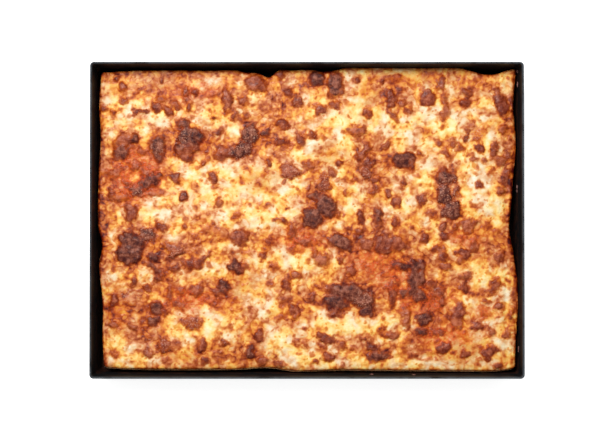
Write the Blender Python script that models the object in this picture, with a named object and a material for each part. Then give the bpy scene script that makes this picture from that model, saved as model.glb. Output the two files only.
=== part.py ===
"""Rectangular cheese pizza, baked and still sitting in its straight-walled metal tray.

Metres, +Z up. +X runs along the tray's long side and +Y points to its back. The origin is
the middle of the tray's underside, where it rests. Three solids are made: the tray, the
crust that stands on its floor, and the browned cheese that lies in the crust's low rim.
"""
import math

import bpy
import numpy as np

MM = 0.001

# Tray: outside sizes at the rim, and the sheet it is pressed from
TRAY_LENGTH = 366 * MM
TRAY_WIDTH = 267 * MM
TRAY_HEIGHT = 45 * MM
SHEET = 1.6 * MM
WALL_LEAN = math.radians(5)
RIM_CORNER = 3.5 * MM
INNER_BEND = 3.0 * MM
SHARPEST_CORNER = 1.0 * MM
BEND_STEPS = 4
CORNER_STEPS = 6

# Pizza: heights above the surface that the tray stands on
CRUST_TOP = 22.0 * MM
CRUST_RIM = 26.4 * MM
CHEESE_TOP = 29.0 * MM
REST_GAP = 0.3 * MM
SIDE_GAP = 0.4 * MM

# Pizza: outline, crust rim and the rounding of its edges
NOMINAL_HALF = (178 * MM, 129 * MM)
WALL_CLEARANCE = 0.45 * MM
FOOD_CORNER = 3.0 * MM
CRUST_FOOT = 5.0 * MM
CRUST_RIM_WIDTH = 1.1 * MM
CRUST_SHOULDER = 1.0 * MM
CRAG_DEPTH = 0.5 * MM
CHEESE_SHOULDER = 3.2 * MM
CHEESE_EDGE_FALL = 2.6 * MM

# Mesh spacing over the food, and the share of triangles kept where the surface is calm
FOOD_STEP = 3.0 * MM
CHEESE_KEPT = 0.38
CRUST_KEPT = 0.34

# Food's four edges, in mm from the middle: the place along the edge, then its reach
BACK_EDGE = [(-178, 125.8), (-142, 127.4), (-107, 127.5), (-91, 127.3), (-72, 127.6), (-62, 127.6), (-54, 125.7),
             (-42, 124.8), (-33, 121.6), (-26, 127.2), (-15, 127.5), (1, 128.0), (13, 126.6), (23, 127.4), (33, 129.8),
             (47, 130.0), (83, 129.6), (113, 129.8), (133, 129.2), (142, 126.6), (153, 124.0), (162, 124.5),
             (170, 127.3), (178, 129.0)]
FRONT_EDGE = [(-178, -125.8), (-163, -127.1), (-142, -127.8), (-102, -128.0), (-61, -127.6), (-35, -126.3),
              (-15, -129.0), (21, -128.6), (93, -128.9), (130, -129.1), (164, -129.0), (178, -127.2)]
LEFT_EDGE = [(-129, -173.0), (-98, -174.6), (-81, -174.2), (-64, -175.2), (-38, -177.5), (-21, -174.9),
             (-8, -177.8), (13, -178.7), (38, -178.2), (76, -176.6), (98, -177.8), (129, -176.1)]
RIGHT_EDGE = [(-129, 176.5), (-90, 178.3), (-71, 179.5), (-55, 178.8), (-30, 175.6), (-9, 172.1),
              (17, 174.1), (43, 176.0), (60, 177.7), (98, 175.6), (129, 178.0)]

# Large blisters, in mm from the middle: x, y, length, width, height, and turn in degrees
CHARRED_BLISTERS = [
    (-150, -23, 27, 24, 2.6, 20), (92, -54, 31, 12, 2.2, 90), (83, -39, 17, 9, 1.8, 0), (99, -37, 9, 9, 1.6, 0),
    (83, -63, 17, 9, 1.8, 0), (98, -66, 11, 11, 2.0, 0), (25, -69, 24, 15, 2.2, 35), (38, -62, 30, 13, 2.0, -10),
    (51, -67, 18, 17, 2.2, 60), (82, 50, 22, 19, 2.4, 0), (119, 24, 41, 17, 2.2, 95), (4, 2, 18, 15, 2.6, 0),
    (17, 14, 22, 20, 2.2, 60), (-49, 71, 19, 17, 2.2, 70), (-62, 58, 27, 13, 2.0, 10), (-36, 73, 10, 9, 1.4, 0),
    (-100, 70, 23, 17, 2.2, 0), (-125, 64, 20, 15, 2.0, 60), (-148, 69, 12, 10, 1.6, 60), (-159, 58, 15, 13, 1.8, 0),
    (24, 117, 22, 16, 2.4, 95), (-133, 34, 25, 13, 2.2, 28), (-128, -80, 22, 12, 2.2, 55), (28, -20, 22, 12, 1.8, -15)]
BROWN_BLISTERS = [
    (165, 97, 24, 12, 1.8, -72), (-44, 114, 20, 14, 1.8, -12), (8, 119, 13, 10, 1.4, 0), (-117, -106, 20, 12, 1.6, 0),
    (100, -89, 17, 12, 1.8, 90), (129, -81, 20, 12, 1.8, 75), (50, -19, 13, 12, 1.4, 0), (75, -21, 21, 13, 1.6, 0),
    (134, -29, 16, 12, 1.6, 35), (142, -23, 16, 9, 1.6, 90), (13, -34, 14, 13, 1.8, 0), (-62, -40, 14, 11, 1.6, 70),
    (-73, -57, 14, 11, 1.4, 90), (-93, -59, 16, 9, 1.6, 15), (153, -113, 18, 12, 1.6, 35), (115, -107, 19, 13, 1.4, -30),
    (57, -113, 22, 12, 1.8, -25), (15, -101, 20, 12, 1.4, -30), (-127, 98, 15, 8, 1.4, 65), (-112, 97, 12, 9, 1.4, 0),
    (-69, 104, 20, 8, 1.4, 90), (103, 104, 15, 14, 1.8, 0), (118, 96, 22, 6, 1.2, 85), (136, 105, 11, 10, 1.4, 0),
    (70, 103, 14, 10, 1.4, 90), (84, 97, 15, 9, 1.4, -40), (-14, 108, 15, 9, 1.6, -25), (11, 94, 12, 10, 1.6, 0),
    (60, -1, 17, 8, 1.8, 90), (137, -4, 13, 12, 1.6, 0), (-135, -15, 14, 12, 1.4, 0), (114, -34, 20, 12, 1.4, -60),
    (135, -52, 16, 14, 1.4, 60), (-31, -18, 13, 12, 1.2, 0), (-55, -15, 16, 13, 1.4, 0), (-166, -68, 13, 9, 1.6, 60)]

# Small blisters, scattered between the large ones
SMALL_BLISTERS = 150
SMALL_LENGTH = (6 * MM, 11 * MM)
SMALL_HEIGHT = (0.4 * MM, 1.1 * MM)
SCATTER_SEED = 12

# Slow waves in the cheese, and the crease that runs along its two short sides
WAVE_HEIGHT = 0.45 * MM
WAVE_LENGTHS = (21 * MM, 17 * MM, 34 * MM, 27 * MM)
CREASE_INSET = 8.5 * MM
CREASE_WIDTH = 2.0 * MM
CREASE_DEPTH = 0.9 * MM


def clear_scene():
    for old in list(bpy.data.objects):
        bpy.data.objects.remove(old, do_unlink=True)


def finish_material(name, colour, roughness, metallic=0.0):
    material = bpy.data.materials.new(name)
    material.use_nodes = True
    shader = material.node_tree.nodes["Principled BSDF"]
    shader.inputs["Base Color"].default_value = (*colour, 1.0)
    shader.inputs["Roughness"].default_value = roughness
    shader.inputs["Metallic"].default_value = metallic
    return material


def add_piece(name, points, faces, material, parent, height):
    """Makes one closed mesh object that stands at the given height under its parent."""
    mesh = bpy.data.meshes.new(name)
    mesh.from_pydata(points.tolist(), [], faces)
    mesh.materials.append(material)
    mesh.shade_smooth()
    mesh.set_sharp_from_angle(angle=math.radians(40))
    piece = bpy.data.objects.new(name, mesh)
    bpy.context.collection.objects.link(piece)
    piece.parent = parent
    piece.location = (0, 0, height)
    return piece


def thin_out(piece, share):
    """Leaves the given share of the triangles, and takes them from the calm stretches."""
    modifier = piece.modifiers.new("Thin out", "DECIMATE")
    modifier.decimate_type = "COLLAPSE"
    modifier.ratio = share


def loft_faces(ring_count, points_in_ring, first_point=0):
    """Quads between rings that follow each other; rings run anticlockwise seen from above."""
    faces = []
    for ring in range(ring_count - 1):
        low = first_point + ring * points_in_ring
        high = low + points_in_ring
        for i in range(points_in_ring):
            j = (i + 1) % points_in_ring
            faces.append((low + i, low + j, high + j, high + i))
    return faces


def loft(rings):
    """Closed skin through the rings, with the first ring capped downwards, the last upwards."""
    count = len(rings[0])
    faces = loft_faces(len(rings), count)
    faces.append(tuple(range(count))[::-1])
    top = (len(rings) - 1) * count
    faces.append(tuple(range(top, top + count)))
    return np.vstack(rings), faces


def bend_inset(radius, height):
    """How far inside the rim's outline a bend's centre lies, so that it touches the outer wall."""
    lowered = TRAY_HEIGHT - height + radius * math.sin(WALL_LEAN)
    return radius * math.cos(WALL_LEAN) + lowered * math.tan(WALL_LEAN)


def arc(inset, height, radius, start, end, steps):
    """Points of a section's arc as (inset, height); the angle is counted from straight out."""
    angles = np.linspace(start, end, steps + 1)
    return [(inset - radius * math.cos(a), height + radius * math.sin(a)) for a in angles]


def tray_section():
    """The sheet's section from the underside, up the outer wall, over the rim and down inside."""
    outer_bend = INNER_BEND + SHEET
    bend = bend_inset(outer_bend, outer_bend)
    edge = SHEET / 2
    rim_height = TRAY_HEIGHT - edge
    rim = bend_inset(edge, rim_height)
    outer = arc(bend, outer_bend, outer_bend, -math.pi / 2, -WALL_LEAN, BEND_STEPS)
    over = arc(rim, rim_height, edge, -WALL_LEAN, math.pi - WALL_LEAN, BEND_STEPS)
    inner = arc(bend, outer_bend, INNER_BEND, -WALL_LEAN, -math.pi / 2, BEND_STEPS)
    return outer + over + inner


def rounded_rectangle(half_length, half_width, radius, height):
    quarter = np.linspace(0, math.pi / 2, CORNER_STEPS + 1)
    corners = []
    for turn, (side_x, side_y) in enumerate([(1, 1), (-1, 1), (-1, -1), (1, -1)]):
        angles = quarter + turn * math.pi / 2
        x = side_x * (half_length - radius) + radius * np.cos(angles)
        y = side_y * (half_width - radius) + radius * np.sin(angles)
        corners.append(np.column_stack([x, y, np.full(len(x), height)]))
    return np.vstack(corners)


def make_tray(parent):
    rings = []
    for inset, height in tray_section():
        leaned = (TRAY_HEIGHT - height) * math.tan(WALL_LEAN)
        corner = max(RIM_CORNER - (inset - leaned), SHARPEST_CORNER)
        rings.append(rounded_rectangle(TRAY_LENGTH / 2 - inset, TRAY_WIDTH / 2 - inset, corner, height))
    points, faces = loft(rings)
    black = finish_material("tray", (0.012, 0.011, 0.010), 0.42, 0.6)
    return add_piece("tray", points, faces, black, parent, 0)


def smooth_curve(stops, along):
    """Cubic curve through the stops, whose slope at a stop comes from its two neighbours."""
    place, reach = np.array(stops, dtype=float).T * MM
    slope = np.gradient(reach, place)
    k = np.clip(np.searchsorted(place, along) - 1, 0, len(place) - 2)
    span = place[k + 1] - place[k]
    t = (along - place[k]) / span
    start = (1 + 2 * t) * (1 - t) ** 2 * reach[k] + t * (1 - t) ** 2 * span * slope[k]
    end = t ** 2 * (3 - 2 * t) * reach[k + 1] - t ** 2 * (1 - t) * span * slope[k + 1]
    return start + end


def wall_reach(tray_size, height):
    """Distance from the middle to the tray's inner wall at a height."""
    return tray_size / 2 - SHEET / math.cos(WALL_LEAN) - (TRAY_HEIGHT - height) * math.tan(WALL_LEAN)


def food_point(u, v, inset, height):
    """Place in the pizza of (u, v), which run from -1 to 1 between its uneven edges.

    Each coordinate is mixed between the two opposite edge curves. An inset draws the place
    in from the edges, and the lean of the tray's wall adds to it below the cheese's top.
    """
    inset = inset + (CHEESE_TOP - height) * math.tan(WALL_LEAN)
    u = u * (1 - inset / NOMINAL_HALF[0])
    v = v * (1 - inset / NOMINAL_HALF[1])
    x_limit = wall_reach(TRAY_LENGTH, CHEESE_TOP) - WALL_CLEARANCE
    y_limit = wall_reach(TRAY_WIDTH, CHEESE_TOP) - WALL_CLEARANCE
    along_x = u * NOMINAL_HALF[0]
    along_y = v * NOMINAL_HALF[1]
    left = np.maximum(smooth_curve(LEFT_EDGE, along_y), -x_limit)
    right = np.minimum(smooth_curve(RIGHT_EDGE, along_y), x_limit)
    front = np.maximum(smooth_curve(FRONT_EDGE, along_x), -y_limit)
    back = np.minimum(smooth_curve(BACK_EDGE, along_x), y_limit)
    x = ((1 - u) * left + (1 + u) * right) / 2
    y = ((1 - v) * front + (1 + v) * back) / 2
    return x, y


def grid_lines(half):
    """Values from -1 to 1 that are even in the middle and closer over the rounded edge."""
    near_edge = np.array([0.0, 0.12, 0.35, 0.65, 1.0]) * FOOD_CORNER
    inner = half - FOOD_CORNER
    middle = np.linspace(-inner, inner, round(2 * inner / FOOD_STEP) + 1)[1:-1]
    right = half - near_edge[::-1]
    return np.concatenate([-right[::-1], middle, right]) / half


def round_corners(u, v):
    """Bends each square corner cell into a quarter disc, and gives the distance to the edge."""
    corner_u = FOOD_CORNER / NOMINAL_HALF[0]
    corner_v = FOOD_CORNER / NOMINAL_HALF[1]
    s = np.clip((np.abs(u) - 1 + corner_u) / corner_u, 0, 1)
    t = np.clip((np.abs(v) - 1 + corner_v) / corner_v, 0, 1)
    round_s = s * np.sqrt(1 - t ** 2 / 2)
    round_t = t * np.sqrt(1 - s ** 2 / 2)
    new_u = u + np.sign(u) * (round_s - s) * corner_u
    new_v = v + np.sign(v) * (round_t - t) * corner_v
    near = FOOD_CORNER * (1 - np.hypot(round_s, round_t))
    far = np.minimum((1 - np.abs(u)) * NOMINAL_HALF[0], (1 - np.abs(v)) * NOMINAL_HALF[1])
    return new_u, new_v, np.where(far < FOOD_CORNER, near, far)


def rim_walk():
    """The outline's (u, v), once round anticlockwise from the front left corner."""
    lines_u = grid_lines(NOMINAL_HALF[0])
    lines_v = grid_lines(NOMINAL_HALF[1])
    low_u, low_v = np.full(len(lines_u), -1.0), np.full(len(lines_v), -1.0)
    u = np.concatenate([lines_u[:-1], -low_v[:-1], lines_u[:0:-1], low_v[:-1]])
    v = np.concatenate([low_u[:-1], lines_v[:-1], -low_u[:-1], lines_v[:0:-1]])
    return u, v


def crag(u, v, height):
    """Uneven bites into the crust's side, from 0 to 1, as waves that cross each other."""
    along = np.arctan2(v, u)
    waves = np.sin(31 * along + 410 * height) + np.sin(53 * along - 230 * height + 2) + np.sin(19 * along + 4)
    return (waves + 3) / 6


def crust_section():
    """The crust's section as (inset, height): foot, side, shoulder, rim and the bed in it."""
    floor = SHEET + REST_GAP
    bed = CRUST_RIM_WIDTH + CRUST_SHOULDER
    return [(CRUST_FOOT, floor), (CRUST_FOOT * 0.3, floor + CRUST_FOOT * 0.3), (0, floor + CRUST_FOOT),
            (0, (floor + CRUST_FOOT + CRUST_TOP) / 2), (0, CRUST_RIM - CRUST_SHOULDER),
            (CRUST_SHOULDER * 0.3, CRUST_RIM - CRUST_SHOULDER * 0.3), (CRUST_SHOULDER, CRUST_RIM),
            (bed - SIDE_GAP, CRUST_RIM - SIDE_GAP), (bed, CRUST_TOP)]


def make_crust(parent):
    stand = SHEET + REST_GAP
    u, v, _ = round_corners(*rim_walk())
    rings = []
    for inset, height in crust_section():
        outside = inset < CRUST_SHOULDER and height > stand + CRUST_FOOT / 2
        bite = CRAG_DEPTH * crag(u, v, height) if outside else 0
        x, y = food_point(u, v, inset + bite, height)
        rings.append(np.column_stack([x, y, np.full(len(x), height - stand)]))
    points, faces = loft(rings)
    baked = finish_material("crust", (0.42, 0.20, 0.07), 0.75)
    crust = add_piece("crust", points, faces, baked, parent, stand)
    thin_out(crust, CRUST_KEPT)
    return crust


def small_blisters():
    """Rows like the large blisters' for the scattered small ones, in metres."""
    draw = np.random.default_rng(SCATTER_SEED)
    x = draw.uniform(-0.95, 0.95, SMALL_BLISTERS) * NOMINAL_HALF[0]
    y = draw.uniform(-0.95, 0.95, SMALL_BLISTERS) * NOMINAL_HALF[1]
    length = draw.uniform(*SMALL_LENGTH, SMALL_BLISTERS)
    width = length * draw.uniform(0.6, 1.0, SMALL_BLISTERS)
    height = draw.uniform(*SMALL_HEIGHT, SMALL_BLISTERS)
    turn = draw.uniform(0, math.pi, SMALL_BLISTERS)
    return np.column_stack([x, y, length, width, height, turn])


def blister_height(x, y):
    """The highest of the oval domes over each place: height times (1 - distance squared)."""
    large = np.array(CHARRED_BLISTERS + BROWN_BLISTERS) * ([MM] * 5 + [math.pi / 180])
    rows = np.vstack([large, small_blisters()])[:, :, None, None]
    middle_x, middle_y, length, width, height, turn = rows.transpose(1, 0, 2, 3)
    away_x, away_y = x - middle_x, y - middle_y
    along = (away_x * np.cos(turn) + away_y * np.sin(turn)) / (length / 2)
    across = (away_y * np.cos(turn) - away_x * np.sin(turn)) / (width / 2)
    return (height * np.clip(1 - along ** 2 - across ** 2, 0, 1)).max(axis=0)


def cheese_height(x, y, edge_distance):
    """Top of the cheese: slow waves, the blisters, the side creases and the rounded edge."""
    across_x, across_y, sway_x, sway_y = WAVE_LENGTHS
    waves = np.sin(x / across_x + np.sin(y / sway_x)) + np.sin(y / across_y + np.sin(x / sway_y) + 2)
    from_side = NOMINAL_HALF[0] - np.abs(x) - CREASE_INSET
    crease = CREASE_DEPTH * np.exp(-(from_side / CREASE_WIDTH) ** 2) * (0.6 + 0.4 * np.sin(y / across_y))
    level = CHEESE_TOP + WAVE_HEIGHT * waves + blister_height(x, y) - crease
    inward = np.clip(edge_distance / CHEESE_SHOULDER, 0, 1)
    edge_level = CHEESE_TOP - CHEESE_EDGE_FALL
    return edge_level + (level - edge_level) * np.sqrt(1 - (1 - inward) ** 2)


def make_cheese(parent):
    stand = CRUST_TOP + REST_GAP
    bed = CRUST_RIM_WIDTH + CRUST_SHOULDER + SIDE_GAP
    u, v = np.meshgrid(grid_lines(NOMINAL_HALF[0]), grid_lines(NOMINAL_HALF[1]))
    u, v, edge_distance = round_corners(u, v)
    x, y = food_point(u, v, bed, CHEESE_TOP)
    top = np.stack([x, y, cheese_height(x, y, edge_distance) - stand], axis=-1)
    rows, columns = u.shape
    index = np.arange(rows * columns).reshape(rows, columns)
    corners = [index[:-1, :-1], index[:-1, 1:], index[1:, 1:], index[1:, :-1]]
    faces = np.stack(corners, axis=-1).reshape(-1, 4).tolist()
    rim = np.concatenate([index[0, :-1], index[:-1, -1], index[-1, :0:-1], index[:0:-1, 0]])
    rim_u, rim_v, _ = round_corners(*rim_walk())
    foot_x, foot_y = food_point(rim_u, rim_v, bed, stand)
    foot = np.column_stack([foot_x, foot_y, np.zeros(len(rim))])
    first = rows * columns
    for i in range(len(rim)):
        j = (i + 1) % len(rim)
        faces.append((first + i, first + j, int(rim[j]), int(rim[i])))
    faces.append(tuple(range(first, first + len(rim)))[::-1])
    points = np.vstack([top.reshape(-1, 3), foot])
    golden = finish_material("cheese", (0.72, 0.38, 0.12), 0.45)
    cheese = add_piece("cheese", points, faces, golden, parent, stand)
    thin_out(cheese, CHEESE_KEPT)
    return cheese


def main():
    clear_scene()
    pizza = bpy.data.objects.new("pizza_in_tray", None)
    bpy.context.collection.objects.link(pizza)
    make_tray(pizza)
    make_crust(pizza)
    make_cheese(pizza)


main()
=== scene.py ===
"""Looks of a rectangular cheese pizza that was baked and still sits in its black tray.

Metres, +Z up, +X along the tray's long side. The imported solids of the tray, the crust and the
cheese are each replaced by a finer surface of the same form. The places of the spots on the
cheese are written in pixels of a 614 by 440 view from straight above, and turned into metres.
"""
import math

import bmesh
import bpy
import numpy as np
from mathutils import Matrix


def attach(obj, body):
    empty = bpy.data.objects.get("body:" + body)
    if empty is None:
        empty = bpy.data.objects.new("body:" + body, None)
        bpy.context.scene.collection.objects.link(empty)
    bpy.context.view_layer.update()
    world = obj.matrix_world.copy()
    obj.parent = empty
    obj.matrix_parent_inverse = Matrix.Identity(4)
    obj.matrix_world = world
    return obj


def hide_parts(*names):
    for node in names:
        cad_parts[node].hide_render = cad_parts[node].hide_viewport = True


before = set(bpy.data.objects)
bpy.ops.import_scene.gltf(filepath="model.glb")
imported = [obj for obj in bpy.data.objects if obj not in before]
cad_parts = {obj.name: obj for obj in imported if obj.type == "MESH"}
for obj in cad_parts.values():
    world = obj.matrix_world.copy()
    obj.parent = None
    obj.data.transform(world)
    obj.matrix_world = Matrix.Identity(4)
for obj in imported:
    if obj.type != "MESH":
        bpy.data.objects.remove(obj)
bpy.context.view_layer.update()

MM = 0.001

# Tray: outside sizes at the rim, the sheet it is pressed from, and the points of its section and
# its outline, of which the first few down the inner wall are clear of the brown film and its painted light
TRAY_LENGTH = 366 * MM
TRAY_WIDTH = 267 * MM
TRAY_HEIGHT = 45 * MM
SHEET = 1.6 * MM
WALL_LEAN = math.radians(5)
RIM_CORNER = 3.5 * MM
INNER_BEND = 3.0 * MM
SHARPEST_CORNER = 1.0 * MM
BEND_STEPS = 10
WALL_POINTS = 8
CLEAN_POINTS = 3
CORNER_STEPS = 12
SIDE_STEPS = 48

# Pizza: heights above the surface that the tray stands on, and the gaps between the pieces
CRUST_TOP = 22.0 * MM
CRUST_RIM = 26.4 * MM
CHEESE_TOP = 29.0 * MM
REST_GAP = 0.3 * MM
SIDE_GAP = 0.4 * MM

# Pizza: outline, crust rim and the rounding of its edges
NOMINAL_HALF = (178 * MM, 129 * MM)
WALL_CLEARANCE = 0.45 * MM
FOOD_CORNER = 3.0 * MM
CRUST_FOOT = 5.0 * MM
CRUST_RIM_WIDTH = 1.1 * MM
CRUST_SHOULDER = 1.0 * MM
CRAG_SIZE = 7 * MM
CRAG_DEPTH = 0.5 * MM
CHEESE_SHOULDER = 3.2 * MM
CHEESE_EDGE = 26.7 * MM
CHEESE_STEP = 1.03 * MM
CRUST_STEP = 0.8 * MM

# Cheese's lip: how far it lies inside the pizza's outline on each side, or outside it where that
# is below 0, how late towards the edge that sets in, its least gap to the tray's wall, how far
# below the crust's rim it is tucked in, and the length, depth and width of its ragged line
LEFT_LIP = 0.5 * MM
RIGHT_LIP = -0.5 * MM
FRONT_LIP = 1.15 * MM
BACK_LIP = -0.5 * MM
LIP_POWER = 12
LIP_CLEARANCE = 0.1 * MM
LIP_TUCK = 0.1 * MM
RAGGED_LENGTH = 9 * MM
RAGGED_DEPTH = 0.25 * MM
RAGGED_WIDTH = 3 * MM
RAGGED_POWER = 8

# Pizza's four edges, in mm from the middle: the place along the edge, then its reach
BACK_EDGE = [(-178, 125.8), (-142, 127.4), (-107, 127.5), (-91, 127.3), (-72, 127.6), (-62, 127.6),
             (-54, 125.7), (-42, 124.8), (-33, 121.6), (-26, 127.2), (-15, 127.5), (1, 128.0),
             (13, 126.6), (23, 127.4), (33, 129.8), (47, 130.0), (83, 129.6), (113, 129.8),
             (133, 129.2), (142, 126.6), (153, 124.0), (162, 124.5), (170, 127.3), (178, 129.0)]
FRONT_EDGE = [(-178, -125.8), (-163, -127.1), (-142, -127.8), (-102, -128.0), (-61, -127.6), (-35, -126.3),
              (-15, -129.0), (21, -128.6), (93, -128.9), (130, -129.1), (164, -129.0), (178, -127.2)]
LEFT_EDGE = [(-129, -173.0), (-98, -174.6), (-81, -174.2), (-64, -175.2), (-38, -177.5), (-21, -174.9),
             (-8, -177.8), (13, -178.7), (38, -178.2), (76, -176.6), (98, -177.8), (129, -176.1)]
RIGHT_EDGE = [(-129, 176.5), (-90, 178.3), (-71, 179.5), (-55, 178.8), (-30, 175.6), (-9, 172.1),
              (17, 174.1), (43, 176.0), (60, 177.7), (98, 175.6), (129, 178.0)]

# Relief of the cheese: slow waves, side creases, blisters, curds and wrinkles
WAVE_HEIGHT = 0.45 * MM
WAVE_LENGTHS = (21 * MM, 17 * MM, 34 * MM, 27 * MM)
CREASE_INSET = 8.5 * MM
CREASE_WIDTH = 2.0 * MM
CREASE_DEPTH = 0.9 * MM
BLISTER_RISE = 0.10
DOME_POWER = 0.6
CURD_SIZE = 6.0 * MM
CURD_HEIGHT = 0.30 * MM
GRAIN_SIZE = 2.6 * MM
GRAIN_HEIGHT = 0.14 * MM
WRINKLE_SIZE = 2.0 * MM
WRINKLE_HEIGHT = 0.05 * MM

# View from above: its middle and its scale at the cheese
VIEW_MIDDLE = (307.15, 219.9)
PIXEL = 0.8527 * MM

# Outlines of the spots: their reach in half sizes, the length and depth of the bends that make
# them uneven, how far beyond an oval its marks are still drawn, and the greatest depth in mm
SPOT_REACH = 1.04
BENDS = [(9 * MM, 2.2 * MM), (4 * MM, 0.8 * MM)]
SPOT_MARGIN = 9 * MM
DEPTH_LIMIT = 4.0

# Bake, from 0 for pale cheese to 1 for char: of the ground, of wide areas and of each kind of spot
GROUND_BAKE = 0.33
RUSTY_BAKE = 0.55
PALE_BAKE = 0.17
AMBER_BAKE = 0.58
SPECK_BAKE = 0.85
DOT_BAKE = 0.44
FRECKLE_BAKE = 0.50
SAUCY_BAKE = 0.65
BROWN_BAKE = 0.79
CHARRED_BAKE = 0.89

# Bake round the spots, as what it adds and how far it fades
SPOT_GLOW = (0.12, 2.2 * MM)
CHARRED_GLOW = (0.20, 3.4 * MM)

# Bake along the pizza's edges: what it adds, how much its streaks vary it and how far it fades
SIDE_BAKE = 0.42
SIDE_STREAKS = 0.35
SIDE_FADE = 3.2 * MM
END_BAKE = 0.26
END_STREAKS = 0.20
END_FADE = 2.2 * MM
STREAK_WIDTH = 2.6 * MM
STREAK_STRETCH = 5

# Spots on the cheese, in pixels of that view: x, y, then length, width (the same as the length
# where it is left out) and turn in degrees anticlockwise
CHARRED = [
    (191, 136, 26, 18), (184, 125, 12, 10, -60), (180, 147, 14, 10, 30), (158, 145, 18, 20),
    (158, 156, 8, 14), (134, 139, 11), (121, 152, 16, 15), (250, 135, 20, 18, 70),
    (242, 150, 26, 13, 30), (265, 132, 8, 10),
    (335, 84, 25, 18, 95), (317, 78, 14), (132, 242, 26, 20, -20), (130, 253, 26, 22, 10), (148, 234, 16, 14),
    (154, 257, 12, 10), (154, 267, 17, 5, -38), (150, 181, 26, 13, 25), (160, 175, 10, 6), (136, 190, 14, 10),
    (312, 217, 22, 19, -20), (326, 206, 23, 22, 60), (316, 197, 14, 7, -10), (446, 176, 18, 16),
    (445, 196, 18, 22), (452, 209, 20, 19), (455, 176, 6, 14), (456, 192, 7, 10), (403, 159, 25, 17),
    (412, 163, 8, 10), (414, 283, 38, 13, 90), (414, 266, 14, 11, 60), (421, 266, 12, 9, 90),
    (421, 275, 7, 24), (420, 296, 18, 13), (404, 292, 13, 8), (404, 265, 24, 8),
    (350, 292, 42, 17, -10), (336, 302, 25, 16, -10),
    (363, 299, 22, 20), (367, 310, 16, 12), (158, 307, 15, 13, 30), (153, 320, 13, 11, 40), (424, 319, 15),
    (422, 331, 14, 9), (378, 217, 20, 9, 93), (340, 241, 26, 14, -15), (350, 247, 8), (378, 355, 22, 12),
    (251, 353, 13, 11, 80), (223, 284, 13, 11, -30), (220, 291, 13, 6), (234, 266, 12, 16, 70)]
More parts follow.
